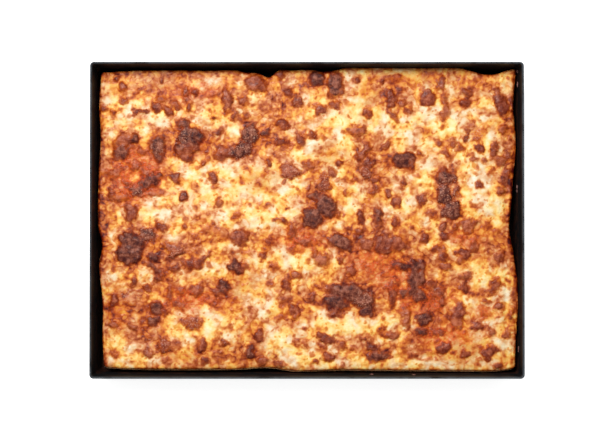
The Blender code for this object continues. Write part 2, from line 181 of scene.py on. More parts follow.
BROWN = [
    (126, 140, 26, 12, 20), (358, 231, 12, 8), (388, 237, 11, 8, -30), (262, 360, 10, 12, 80),
    (242, 268, 14, 8), (371, 301, 9, 12), (150, 193, 20, 6), (165, 312, 6, 8),
    (335, 312, 14, 8), (157, 107, 10, 12),
    (162, 98, 10, 7, -25), (168, 111, 14, 8, -35), (175, 104, 10, 9), (186, 91, 9), (194, 92, 8, 6, -45),
    (190, 106, 12, 6, -65), (227, 98, 26, 10, 90), (123, 87, 8), (118, 78, 6, 5), (123, 101, 10, 6),
    (104, 107, 8, 5), (113, 112, 7), (144, 111, 12, 6), (162, 80, 5), (213, 119, 7, 6), (218, 131, 12, 6, 30),
    (203, 163, 6), (187, 158, 12, 9), (142, 150, 8), (131, 147, 5, 4), (137, 165, 14, 9), (146, 172, 12, 8),
    (121, 169, 6, 5), (110, 173, 6, 10), (115, 172, 14, 10), (235, 116, 6, 8), (256, 84, 22, 15, -15),
    (279, 74, 13, 8, -10), (290, 93, 16, 9, -35), (298, 102, 8), (320, 109, 13, 11), (334, 105, 12, 7),
    (283, 124, 12, 10), (282, 141, 12, 8), (299, 140, 10, 12), (313, 134, 8, 9), (368, 113, 7, 10),
    (359, 130, 20, 9, -10), (367, 148, 8, 9), (362, 155, 10, 12), (368, 163, 12, 10), (356, 79, 8, 6, 30),
    (246, 115, 8, 6), (244, 100, 8), (310, 165, 16, 6, 10), (340, 163, 9, 8), (285, 165, 10, 8),
    (268, 163, 6, 10), (290, 172, 20, 14), (284, 181, 5), (324, 185, 14), (331, 171, 9, 10),
    (501, 104, 28, 14, -72), (496, 92, 6, 8), (428, 98, 16, 17), (441, 83, 8, 12), (445, 107, 28, 7, 88),
    (467, 92, 10, 9), (464, 103, 11, 9), (390, 97, 12, 16), (391, 105, 8),
    (402, 103, 10, 8), (408, 111, 10, 7), (394, 116, 14, 9, -55), (440, 143, 9, 4, -35),
    (447, 152, 14, 6, -60), (453, 142, 7, 10),
    (460, 148, 8, 7, -30), (479, 147, 8, 10), (494, 150, 16, 8, 70), (504, 130, 10), (467, 130, 6),
    (467, 137, 6), (474, 160, 7), (485, 161, 6, 7), (500, 160, 12, 10), (509, 155, 8, 6), (421, 152, 7, 6),
    (385, 145, 8), (511, 103, 14, 3, 90), (383, 81, 6, 8), (112, 193, 8, 10), (120, 197, 20, 8),
    (131, 213, 20, 11, 88), (128, 182, 8, 5), (175, 177, 12, 10, -60), (183, 197, 9, 11), (214, 177, 9, 12),
    (219, 201, 7, 10), (185, 226, 6, 8), (162, 226, 12, 8, -50), (160, 225, 6), (240, 237, 18, 16),
    (175, 249, 20, 14, -20), (178, 253, 12, 7), (195, 263, 22, 8), (206, 258, 14, 6, 60), (175, 267, 12, 7),
    (283, 221, 14, 6, -15), (293, 230, 18, 8, 80), (306, 241, 22, 9), (305, 244, 10, 5), (262, 256, 7, 8),
    (293, 249, 10, 6), (322, 259, 15, 14), (314, 252, 8), (341, 258, 6, 9), (346, 193, 9, 7),
    (373, 193, 7, 9), (367, 172, 16, 9, 90), (375, 179, 10, 6), (378, 187, 6, 8), (361, 216, 10, 14),
    (338, 213, 10, 5, -60), (351, 270, 8, 12), (397, 202, 10, 12), (388, 192, 10, 8, -50),
    (403, 183, 12, 5, 90), (421, 201, 14, 8, 65), (396, 222, 8, 10), (441, 226, 9, 8),
    (455, 226, 5, 8), (467, 225, 13, 17), (476, 221, 8, 5), (480, 186, 8), (501, 190, 12, 8),
    (505, 175, 18, 8, 80), (424, 238, 9, 10), (444, 235, 12, 8), (474, 245, 9, 12),
    (464, 253, 16, 12), (460, 260, 8), (437, 249, 10, 6), (442, 256, 12, 16), (446, 266, 12, 8),
    (498, 257, 10, 9), (165, 344, 13), (203, 344, 15, 11, 80), (193, 321, 20, 13),
    (198, 289, 17, 11, 15), (182, 292, 10, 5, -30),
    (170, 293, 16, 7, 90), (178, 304, 14, 9, -10), (148, 288, 9), (134, 280, 7, 10), (159, 277, 9, 7),
    (113, 300, 14, 10, 75), (115, 323, 12, 8), (132, 325, 14, 5, -40), (148, 352, 10, 9), (205, 360, 9, 7),
    (225, 341, 8, 9), (286, 284, 10, 12), (296, 275, 12, 9), (313, 298, 7, 9), (293, 309, 10), (296, 315, 8),
    (280, 364, 16, 7), (276, 355, 6, 10), (259, 334, 9, 12), (328, 338, 14, 10), (320, 334, 10, 8),
    (341, 344, 12, 8, -50), (328, 356, 13, 9), (316, 361, 6, 5), (365, 340, 12, 5, -30),
    (372, 347, 18, 6, -35), (392, 335, 14, 9, -20), (392, 294, 28, 11, 90),
    (405, 315, 24, 9, 90), (431, 284, 10, 9),
    (438, 292, 10, 16), (442, 301, 10), (458, 314, 22, 14, 80), (457, 323, 12, 10), (466, 276, 14, 8),
    (463, 287, 9, 10), (495, 284, 14, 9, 80), (491, 291, 12, 6, 20), (484, 300, 9, 6, -40), (498, 305, 11, 9),
    (511, 316, 12, 5, 85), (476, 326, 9, 10), (489, 330, 7, 9), (507, 333, 12, 9, 70), (490, 351, 18, 12, 35),
    (465, 353, 9, 8), (496, 364, 8), (437, 331, 12, 8), (444, 347, 16, 10), (341, 366, 8, 4),
    (366, 243, 15, 14), (394, 243, 26, 18), (383, 244, 18), (226, 152, 24, 14, 10), (187, 148, 26, 16, 20)]
SAUCY = [
    (213, 95, 8), (140, 90, 14, 6, 20), (195, 235, 8), (215, 232, 30, 12, -25), (158, 235, 8, 10),
    (170, 248, 8), (175, 345, 13, 11), (131, 300, 12, 10), (213, 302, 12, 8), (383, 330, 11, 10),
    (406, 342, 20, 8, 60), (412, 355, 12, 6), (412, 350, 14, 4), (486, 311, 14, 8, -30), (433, 214, 16, 10),
    (495, 231, 9), (486, 224, 6, 4), (482, 131, 10), (471, 126, 8), (476, 138, 7), (491, 171, 8),
    (355, 180, 9, 6), (401, 89, 7, 6), (382, 79, 6), (237, 216, 12, 11), (271, 240, 12, 14),
    (250, 252, 12, 4), (275, 265, 8), (286, 238, 5, 4), (104, 172, 8, 4), (104, 252, 10, 3),
    (141, 332, 8, 6), (150, 336, 7, 5), (116, 352, 9, 10), (168, 360, 7, 8), (188, 366, 8, 4),
    (223, 359, 9, 4), (216, 337, 5, 8), (240, 339, 6, 8), (286, 299, 14, 6), (270, 283, 8),
    (317, 285, 6), (325, 290, 12, 8), (281, 317, 8), (254, 312, 8),
    (245, 308, 16, 3), (297, 341, 8), (305, 343, 8, 12), (324, 347, 8), (353, 347, 6), (476, 294, 12, 5),
    (513, 292, 6, 8), (464, 334, 9), (476, 345, 6, 4), (441, 318, 12, 6), (437, 342, 6, 8), (430, 352, 14, 5),
    (452, 354, 8, 5), (414, 147, 7), (381, 134, 5, 8), (469, 155, 6, 4), (303, 135, 8, 7), (136, 112, 7, 8),
    (491, 262, 8), (450, 158, 5), (451, 165, 4), (392, 78, 26, 6), (435, 76, 14, 4, -15), (486, 74, 12, 4)]
AMBER = [
    (179, 76, 26, 6), (106, 77, 10, 4), (131, 97, 12, 4), (106, 117, 6, 4), (210, 137, 6, 4),
    (321, 136, 6, 4, -60), (323, 146, 4), (334, 138, 9, 4, 75), (370, 82, 5),
    (296, 124, 5, 7), (307, 122, 8, 5), (276, 85, 6, 4),
    (266, 104, 5, 8), (270, 112, 8, 12), (370, 139, 8, 4), (356, 145, 4, 8), (426, 130, 18, 8, -10),
    (415, 134, 5, 4), (505, 146, 6), (511, 147, 5, 7), (487, 112, 18, 4), (460, 86, 4), (484, 82, 8, 5),
    (476, 100, 6, 5), (477, 85, 6, 5), (195, 185, 10, 8, 20), (165, 191, 3), (234, 204, 4), (167, 206, 6, 5),
    (175, 212, 4, 8), (155, 204, 4, 6), (185, 217, 6), (195, 218, 8, 9), (201, 215, 8, 4, 30),
    (212, 213, 6, 5), (214, 186, 6), (174, 224, 12, 5), (196, 253, 12, 8), (220, 253, 6, 5),
    (308, 181, 9, 6), (251, 170, 4, 5),
    (248, 203, 4, 6), (266, 206, 8, 7, 50), (274, 202, 5), (285, 200, 6, 4, -40), (293, 204, 4, 3),
    (267, 189, 3, 4), (272, 190, 3, 5), (321, 237, 6, 10), (344, 180, 6), (349, 173, 6, 10), (411, 188, 5, 8),
    (489, 192, 7, 4), (477, 206, 12, 9), (438, 183, 10), (465, 173, 5), (163, 293, 8, 6), (145, 297, 8, 4),
    (133, 362, 10, 3), (232, 310, 12, 4), (215, 353, 8), (250, 325, 8, 20), (249, 292, 5, 4),
    (264, 294, 12, 4, -30), (265, 321, 9, 4), (304, 316, 4), (315, 316, 6, 5), (305, 329, 8, 5),
    (345, 357, 6, 4), (362, 333, 3), (369, 327, 4, 5), (383, 318, 6, 5), (503, 355, 4, 6), (394, 347, 6, 3),
    (404, 226, 4), (348, 307, 14, 8), (246, 167, 9, 6), (258, 182, 7, 10), (241, 181, 6, 8), (267, 172, 6, 5)]
PALE = [
    (113, 101, 12, 10), (128, 113, 12, 14), (137, 104, 10, 6), (158, 120, 16, 12), (205, 118, 24, 14),
    (108, 133, 10, 20), (105, 90, 8, 22), (106, 153, 8, 10), (146, 135, 10, 20), (233, 130, 14),
    (212, 80, 30, 8), (225, 170, 28, 20), (252, 98, 12, 14), (310, 97, 20, 8),
    (310, 145, 14, 10), (300, 155, 14),
    (343, 118, 26, 22), (361, 103, 14, 12), (377, 122, 10, 14), (345, 75, 8, 12), (365, 75, 10, 8),
    (241, 80, 8, 10), (350, 145, 10, 14), (506, 85, 12, 16), (425, 112, 20, 14), (437, 107, 10, 12),
    (415, 75, 14, 10), (410, 120, 30, 10), (440, 130, 16), (430, 145, 14, 10), (485, 104, 16, 12),
    (480, 118, 20, 6), (383, 122, 14, 10), (405, 135, 18, 20), (452, 125, 16), (470, 160, 30, 20),
    (395, 70, 18, 5), (426, 160, 10, 14), (442, 160, 10), (193, 172, 20, 12), (175, 165, 12, 10),
    (205, 190, 14, 20), (238, 190, 14), (165, 197, 12, 10), (150, 203, 14, 8), (160, 215, 30, 12),
    (228, 215, 20), (173, 232, 14), (120, 218, 8, 14), (137, 176, 6, 10), (225, 245, 20, 8),
    (212, 267, 18, 16), (112, 236, 5, 8), (113, 250, 4, 10), (258, 178, 40, 30),
    (288, 188, 20, 16), (262, 215, 50, 24),
    (335, 180, 6, 24), (352, 188, 30, 6), (345, 170, 10), (300, 262, 24, 16), (283, 250, 8, 24),
    (337, 260, 8, 20), (350, 208, 10, 12), (258, 258, 14), (485, 200, 40, 32), (475, 175, 30, 20),
    (410, 200, 16, 20), (425, 180, 20, 14), (435, 228, 10, 28), (388, 210, 8), (427, 248, 10, 6),
    (450, 245, 6, 10), (428, 165, 10), (475, 265, 12), (497, 215, 6, 16), (145, 273, 16, 14),
    (105, 288, 8, 20), (115, 275, 14, 10), (161, 297, 10, 8), (174, 320, 12, 16), (185, 335, 20, 10),
    (210, 325, 20, 24), (205, 312, 30, 10), (232, 320, 16, 8), (228, 335, 14, 10), (117, 342, 12),
    (132, 347, 12, 8), (118, 361, 26, 8), (188, 347, 10, 14), (150, 360, 16, 6), (278, 341, 26),
    (265, 308, 24, 20), (295, 360, 36, 14), (335, 325, 60, 16), (322, 315, 16, 12), (360, 362, 60, 6),
    (410, 362, 70, 6), (305, 352, 10), (483, 277, 12, 22), (392, 321, 14), (503, 277, 10, 8),
    (504, 292, 8, 12), (466, 300, 30, 8), (467, 310, 10, 14), (500, 343, 14, 24), (456, 270, 8, 10),
    (438, 272, 10, 6), (468, 342, 14, 12), (401, 340, 6, 12), (383, 342, 10, 8), (104, 335, 6, 30),
    (338, 142, 14, 20), (490, 140, 14, 18), (300, 180, 10, 16), (292, 208, 16, 14), (465, 205, 10, 20),
    (245, 290, 14, 16), (262, 292, 14, 12), (368, 324, 40, 18), (425, 92, 16, 14), (448, 90, 10, 16)]
RUSTY = [
    (135, 180, 50, 50), (185, 92, 80, 22), (365, 262, 76, 80), (446, 301, 62, 62), (180, 298, 120, 26),
    (145, 335, 60, 28), (400, 92, 50, 28), (476, 92, 60, 24), (290, 236, 50, 20), (318, 192, 30, 44),
    (366, 165, 44, 56), (275, 105, 50, 36), (506, 165, 16, 60), (298, 306, 50, 44), (485, 243, 44, 40),
    (392, 344, 60, 18), (225, 240, 60, 30), (155, 255, 80, 50), (170, 145, 110, 34), (250, 140, 40, 44),
    (225, 350, 90, 20), (108, 222, 30, 160), (125, 308, 40, 24), (400, 75, 120, 10), (512, 240, 12, 80),
    (180, 74, 140, 10), (110, 215, 22, 60), (238, 86, 80, 30), (306, 88, 26, 24), (278, 147, 30, 26),
    (437, 172, 34, 44), (434, 250, 90, 54), (116, 234, 28, 28), (212, 320, 90, 24), (150, 351, 30, 22)]
YELLOW = [
    (112, 90, 10, 12), (150, 87, 40, 10), (205, 142, 14, 18), (328, 155, 24, 20), (258, 178, 34, 24),
    (425, 343, 16, 14), (460, 358, 24, 12), (188, 357, 30, 12), (245, 283, 24, 18), (232, 295, 16, 16),
    (133, 225, 12), (425, 76, 90, 12), (370, 95, 24, 20), (468, 348, 40, 24), (118, 310, 24, 36)]
EMBER = [
    (373, 262, 44, 24), (392, 279, 34, 22), (465, 238, 24, 10), (135, 175, 50, 50), (200, 88, 40, 12, 10),
    (485, 311, 16, 14), (425, 300, 50, 24), (190, 300, 50, 20), (445, 335, 50, 20), (300, 240, 40, 20)]
# Places of the glints painted on the cheese: pale specks in its colour that stand for painted highlights
PAINTED_GLINT_AREAS = [
    (184, 138, 14), (158, 148, 14), (242, 150, 22), (448, 195, 24, 40), (193, 321, 20, 13), (136, 190, 12),
    (290, 172, 20, 14), (324, 180, 14, 24), (363, 298, 18), (148, 234, 16), (175, 249, 20, 14),
    (165, 344, 14), (131, 295, 20, 16), (150, 345, 12, 16), (475, 133, 16, 20), (366, 176, 10, 18),
    (198, 235, 14), (250, 135, 18)]
SPECKS = [
    (510, 281, 4), (507, 279, 3), (513, 300, 4), (107, 222, 5), (105, 184, 4), (274, 219, 5, 4),
    (287, 208, 3), (117, 217, 3), (440, 143, 6, 3, -35)]

# Baked-on bits on the tray's inner wall: side, place along it, height, length, width, thickness in mm
WALL_BITS = [
    ("right", 28.5, 25.5, 3.4, 2.6, 1.2), ("right", 25.0, 24.5, 3.0, 2.2, 0.8),
    ("right", 116.0, 27.5, 5.0, 2.4, 0.9), ("right", 127.2, 27.5, 3.2, 2.6, 1.2),
    ("right", -109.5, 29.0, 5.2, 1.8, 0.8), ("front", 54.8, 33.0, 3.2, 2.6, 1.1),
    ("front", 90.4, 34.5, 4.4, 1.8, 0.6)]

# Shape of each bit: points round it and over it, how much noise swells it, and by which part of
# its thickness its middle lies out of the wall
BIT_COLUMNS = 20
BIT_ROWS = 12
BIT_SWELL = 0.3
BIT_NOISE_SIZE = 0.8
BIT_STAND = 0.3

# Scattered freckles between the spots
FRECKLES = 950
FRECKLE_SIZE = (2.0 * MM, 5.0 * MM)
FRECKLE_AREA = 0.97
SCATTER_SEED = 12

# Colours that multiply the cheese's own, and the tray's: its coating and the marks on it
GOLDEN_TINT = (1.07, 0.96, 0.52, 1.0)
ROSY_TINT = (0.95, 0.98, 1.36, 1.0)
TRAY_COATING = (0.0054, 0.0060, 0.0068, 1.0)
TRAY_SCUFFED = (0.0108, 0.0118, 0.0130, 1.0)
# Brown film low on the inner wall, lighter than the film alone as painted light that lifts the shade there
TRAY_FILM_AND_PAINTED_LIGHT = (0.036, 0.013, 0.008, 1.0)
# Grey of the rim: partly wear, partly a painted highlight of light on the rim's top
TRAY_WEAR_AND_HIGHLIGHT = (0.048, 0.055, 0.062, 1.0)

# Studio: light that reaches the cheese, as a share of full white, its sheen, the lamp and the camera
LIGHT_LEVEL = 1.25
SHEEN = 0.008
SKY_LIGHT = 0.52
FLOOR_GLOW = 0.78
LAMP_POWER = 31
LAMP_SIZE = (0.8, 0.6)
LAMP_PLACE = (-0.35, 0.70, 1.50)
FLOOR_SIZE = 6.0
CAMERA_HEIGHT = 1.3
CAMERA_TILT = math.radians(1)
LENS = 90.65
SENSOR = 36


def seen(red, green, blue):
    """Surface colour that shows as these screen values, of 255, under the studio's light."""
    share = np.array([red, green, blue]) / 255
    linear = np.where(share <= 0.04045, share / 12.92, ((share + 0.055) / 1.055) ** 2.4)
    return (*np.clip((linear - SHEEN) / LIGHT_LEVEL, 0.001, 0.95).tolist(), 1.0)


def ramp_between(low, high, value):
    """0 below low, 1 above high, and a smooth S between them."""
    t = np.clip((value - low) / (high - low), 0, 1)
    return t * t * (3 - 2 * t)


def noise(x, y, size, seed):
    """Gradient noise, about -1 to 1: slopes drawn at lattice corners, faded between them."""
    count = 256
    angle = np.random.default_rng(seed).uniform(0, 2 * math.pi, (count, count))
    column, row = np.floor(x / size), np.floor(y / size)
    across, up = x / size - column, y / size - row
    fade_x = across ** 3 * (across * (across * 6 - 15) + 10)
    fade_y = up ** 3 * (up * (up * 6 - 15) + 10)
    total = 0
    for step_x in (0, 1):
        for step_y in (0, 1):
            corner = angle[(row.astype(int) + step_y) % count, (column.astype(int) + step_x) % count]
            slope = np.cos(corner) * (across - step_x) + np.sin(corner) * (up - step_y)
            share_x = fade_x if step_x else 1 - fade_x
            share_y = fade_y if step_y else 1 - fade_y
            total = total + slope * share_x * share_y
    return total * 1.6


def layered_noise(x, y, size, seed, layers=3):
    """Noise plus half as much at half the size, and so on."""
    total = 0
    for layer in range(layers):
        total = total + noise(x, y, size / 2 ** layer, seed + layer) / 2 ** layer
    return total


def smooth_curve(stops, along):
    """Cubic curve through the stops, whose slope at a stop comes from its two neighbours."""
    place, reach = np.array(stops, dtype=float).T * MM
    slope = np.gradient(reach, place)
    k = np.clip(np.searchsorted(place, along) - 1, 0, len(place) - 2)
    span = place[k + 1] - place[k]
    t = (along - place[k]) / span
    start = (1 + 2 * t) * (1 - t) ** 2 * reach[k] + t * (1 - t) ** 2 * span * slope[k]
    end = t ** 2 * (3 - 2 * t) * reach[k + 1] - t ** 2 * (1 - t) * span * slope[k + 1]
    return start + end


def wall_reach(tray_size, height):
    """Distance from the middle to the tray's inner wall at a height."""
    return tray_size / 2 - SHEET / math.cos(WALL_LEAN) - (TRAY_HEIGHT - height) * math.tan(WALL_LEAN)


def food_point(u, v, inset, height):
    """Place in the pizza of (u, v), which run from -1 to 1 between its uneven edges.

    Each coordinate is mixed between the two opposite edge curves. An inset draws the place
    in from the edges, and the lean of the tray's wall adds to it below the cheese's top.
    """
    inset = inset + (CHEESE_TOP - height) * math.tan(WALL_LEAN)
    u = u * (1 - inset / NOMINAL_HALF[0])
    v = v * (1 - inset / NOMINAL_HALF[1])
    x_limit = wall_reach(TRAY_LENGTH, CHEESE_TOP) - WALL_CLEARANCE
    y_limit = wall_reach(TRAY_WIDTH, CHEESE_TOP) - WALL_CLEARANCE
    along_x = u * NOMINAL_HALF[0]
    along_y = v * NOMINAL_HALF[1]
    left = np.maximum(smooth_curve(LEFT_EDGE, along_y), -x_limit)
    right = np.minimum(smooth_curve(RIGHT_EDGE, along_y), x_limit)
    front = np.maximum(smooth_curve(FRONT_EDGE, along_x), -y_limit)
    back = np.minimum(smooth_curve(BACK_EDGE, along_x), y_limit)
    x = ((1 - u) * left + (1 + u) * right) / 2
    y = ((1 - v) * front + (1 + v) * back) / 2
    return x, y


def grid_lines(half, step):
    """Values from -1 to 1, a step apart in the middle and closer over the rounded edge."""
    near_edge = np.array([0.0, 0.03, 0.09, 0.18, 0.3, 0.44, 0.6, 0.79, 1.0]) * FOOD_CORNER
    inner = half - FOOD_CORNER
    middle = np.linspace(-inner, inner, round(2 * inner / step) + 1)[1:-1]
    right = half - near_edge[::-1]
    return np.concatenate([-right[::-1], middle, right]) / half


def round_corners(u, v):
    """Bends each square corner cell into a quarter disc, and gives the distance to the edge."""
    corner_u = FOOD_CORNER / NOMINAL_HALF[0]
    corner_v = FOOD_CORNER / NOMINAL_HALF[1]
    s = np.clip((np.abs(u) - 1 + corner_u) / corner_u, 0, 1)
    t = np.clip((np.abs(v) - 1 + corner_v) / corner_v, 0, 1)
    round_s = s * np.sqrt(1 - t ** 2 / 2)
    round_t = t * np.sqrt(1 - s ** 2 / 2)
    new_u = u + np.sign(u) * (round_s - s) * corner_u
    new_v = v + np.sign(v) * (round_t - t) * corner_v
    near = FOOD_CORNER * (1 - np.hypot(round_s, round_t))
    far = np.minimum((1 - np.abs(u)) * NOMINAL_HALF[0], (1 - np.abs(v)) * NOMINAL_HALF[1])
    return new_u, new_v, np.where(far < FOOD_CORNER, near, far)


def rim_walk(step):
    """The outline's (u, v), once round anticlockwise from the front left corner."""
    lines_u = grid_lines(NOMINAL_HALF[0], step)
    lines_v = grid_lines(NOMINAL_HALF[1], step)
    low_u, low_v = np.full(len(lines_u), -1.0), np.full(len(lines_v), -1.0)
    u = np.concatenate([lines_u[:-1], -low_v[:-1], lines_u[:0:-1], low_v[:-1]])
    v = np.concatenate([low_u[:-1], lines_v[:-1], -low_u[:-1], lines_v[:0:-1]])
    return u, v


def add_piece(name, points, faces, material, fields=None):
    """Makes the mesh piece that stands for a node, with its fields as point attributes."""
    mesh = bpy.data.meshes.new(name)
    mesh.from_pydata(points.tolist(), [], faces)
    mesh.materials.append(material)
    for field, values in (fields or {}).items():
        attribute = mesh.attributes.new(field, "FLOAT", "POINT")
        attribute.data.foreach_set("value", values.astype(np.float32))
    mesh.shade_smooth()
    piece = bpy.data.objects.new(name, mesh)
    bpy.context.collection.objects.link(piece)
    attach(piece, "root")
    return piece


def weld(mesh):
    """Merges the points that meet at the poles, and turns all faces outwards."""
    work = bmesh.new()
    work.from_mesh(mesh)
    bmesh.ops.remove_doubles(work, verts=work.verts, dist=0.01 * MM)
    bmesh.ops.recalc_face_normals(work, faces=work.faces)
    work.to_mesh(mesh)
    work.free()


def ring_faces(ring_count, points_in_ring):
    """Quads between closed rings that follow each other, anticlockwise seen from above."""
    low = np.arange(ring_count - 1)[:, None] * points_in_ring
    i = np.arange(points_in_ring)[None, :]
    j = (i + 1) % points_in_ring
    corners = [low + i, low + j, low + j + points_in_ring, low + i + points_in_ring]
    return np.stack(corners, axis=-1).reshape(-1, 4).tolist()


def loft(rings):
    """Closed skin through the rings, with the first ring capped downwards, the last upwards."""
    count = len(rings[0])
    faces = ring_faces(len(rings), count)
    faces.append(tuple(range(count))[::-1])
    top = (len(rings) - 1) * count
    faces.append(tuple(range(top, top + count)))
    return np.vstack(rings), faces


class Value:
    """One number that varies over a surface. Arithmetic on it adds its Math nodes."""

    def __init__(self, tree, socket):
        self.tree = tree
        self.socket = socket

    def size(self):
        """The number without its sign."""
        return self.combine("ABSOLUTE", self)

    def combine(self, operation, *operands):
        """Adds the Math node of an operation on these values and plain numbers."""
        node = self.tree.nodes.new("ShaderNodeMath")
        node.operation = operation
        for socket, operand in zip(node.inputs, operands):
            if isinstance(operand, Value):
                self.tree.links.new(operand.socket, socket)
            else:
                socket.default_value = operand
        return Value(self.tree, node.outputs[0])

    def __add__(self, other):
        return self.combine("ADD", self, other)

    def __radd__(self, other):
        return self.combine("ADD", other, self)

    def __sub__(self, other):
        return self.combine("SUBTRACT", self, other)

    def __rsub__(self, other):
        return self.combine("SUBTRACT", other, self)

    def __mul__(self, other):
        return self.combine("MULTIPLY", self, other)

    def __rmul__(self, other):
        return self.combine("MULTIPLY", other, self)

    def toward(self, level, share):
        """This number, carried towards a level by a share of the way."""
        return self + share * (level - self)


class Finish:
    """A material in the making: its shader, and the nodes that feed it."""

    def __init__(self, name, **constants):
        self.material = bpy.data.materials.new(name)
        self.material.use_nodes = True
        self.tree = self.material.node_tree
        self.shader = self.tree.nodes["Principled BSDF"]
        for socket, value in constants.items():
            self.shader.inputs[socket.replace("_", " ")].default_value = value

    def feed(self, socket, source):
        """Links a source to a socket, or sets the socket to a plain value."""
        if isinstance(source, Value):
            self.tree.links.new(source.socket, socket)
        elif hasattr(source, "is_output"):
            self.tree.links.new(source, socket)
        else:
            socket.default_value = source

    def node(self, kind, settings, sockets):
        """Adds a node: its settings first, a ramp's stops among them, and then its sockets."""
        node = self.tree.nodes.new("ShaderNode" + kind)
        for name, value in settings.items():
            if name == "stops":
                self.set_stops(node.color_ramp, value)
            else:
                setattr(node, name, value)
        for name, source in sockets.items():
            self.feed(node.inputs[name], source)
        return node

    def set_stops(self, ramp, stops):
        """Gives a ramp these stops, each a place and a colour, and no others."""
        while len(ramp.elements) > 1:
            ramp.elements.remove(ramp.elements[-1])
        for i, (place, colour) in enumerate(stops):
            element = ramp.elements[0] if i == 0 else ramp.elements.new(place)
            element.position = place
            element.color = colour

    def field(self, name):
        """A point attribute of the piece."""
        return Value(self.tree, self.node("Attribute", {"attribute_name": name}, {}).outputs["Fac"])

    def noise(self, size, detail=2.0, roughness=0.5):
        """Noise on the piece's own coordinates, about 0.5 on average, with lumps of a size."""
        place = self.node("TexCoord", {}, {}).outputs["Object"]
        sockets = {"Vector": place, "Scale": 1 / size, "Detail": detail, "Roughness": roughness}
        return Value(self.tree, self.node("TexNoise", {}, sockets).outputs["Fac"])

    def cells(self, size, push):
        """For centres strewn about a size apart: how far the nearest is, and its random number.

        Noise first shifts each place by up to the push, so that the cells are uneven.
        """
        place = self.node("TexCoord", {}, {}).outputs["Object"]
        sockets = {"Vector": place, "Scale": 1 / size, "Detail": 2.0}
        lumps = self.node("TexNoise", {}, sockets).outputs["Color"]
        sockets = {0: lumps, 1: (push, push, push), 2: place}
        pushed = self.node("VectorMath", {"operation": "MULTIPLY_ADD"}, sockets)
        sockets = {"Vector": pushed.outputs["Vector"], "Scale": 1 / size}
        cells = self.node("TexVoronoi", {"voronoi_dimensions": "2D"}, sockets)
        return Value(self.tree, cells.outputs["Distance"]), Value(self.tree, cells.outputs["Color"])

    def ramp(self, source, stops):
        """Colours that follow a value through the stops."""
        return self.node("ValToRGB", {"stops": stops}, {"Fac": source}).outputs["Color"]

    def stretch(self, source, low, high):
        """A value carried from low..high to 0..1 along a smooth S."""
        settings = {"interpolation_type": "SMOOTHSTEP"}
        sockets = {"Value": source, "From Min": low, "From Max": high}
        return Value(self.tree, self.node("MapRange", settings, sockets).outputs["Result"])

    def mix(self, share, first, second, blend="MIX"):
        """Mixes two colours by a share."""
        settings = {"data_type": "RGBA", "blend_type": blend}
        return self.node("Mix", settings, {0: share, 6: first, 7: second}).outputs[2]

    def bump(self, height, distance, strength=1.0):
        """Fine relief in the shading, from a height of 0 to 1 that stands for a distance."""
        sockets = {"Height": height, "Distance": distance, "Strength": strength}
        bump = self.node("Bump", {}, sockets)
        self.feed(self.shader.inputs["Normal"], bump.outputs["Normal"])

    def show(self, **sockets):
        """Feeds the shader's sockets, with _ for a space in their names, and gives the material."""
        for name, source in sockets.items():
            self.feed(self.shader.inputs[name.replace("_", " ")], source)
        return self.material


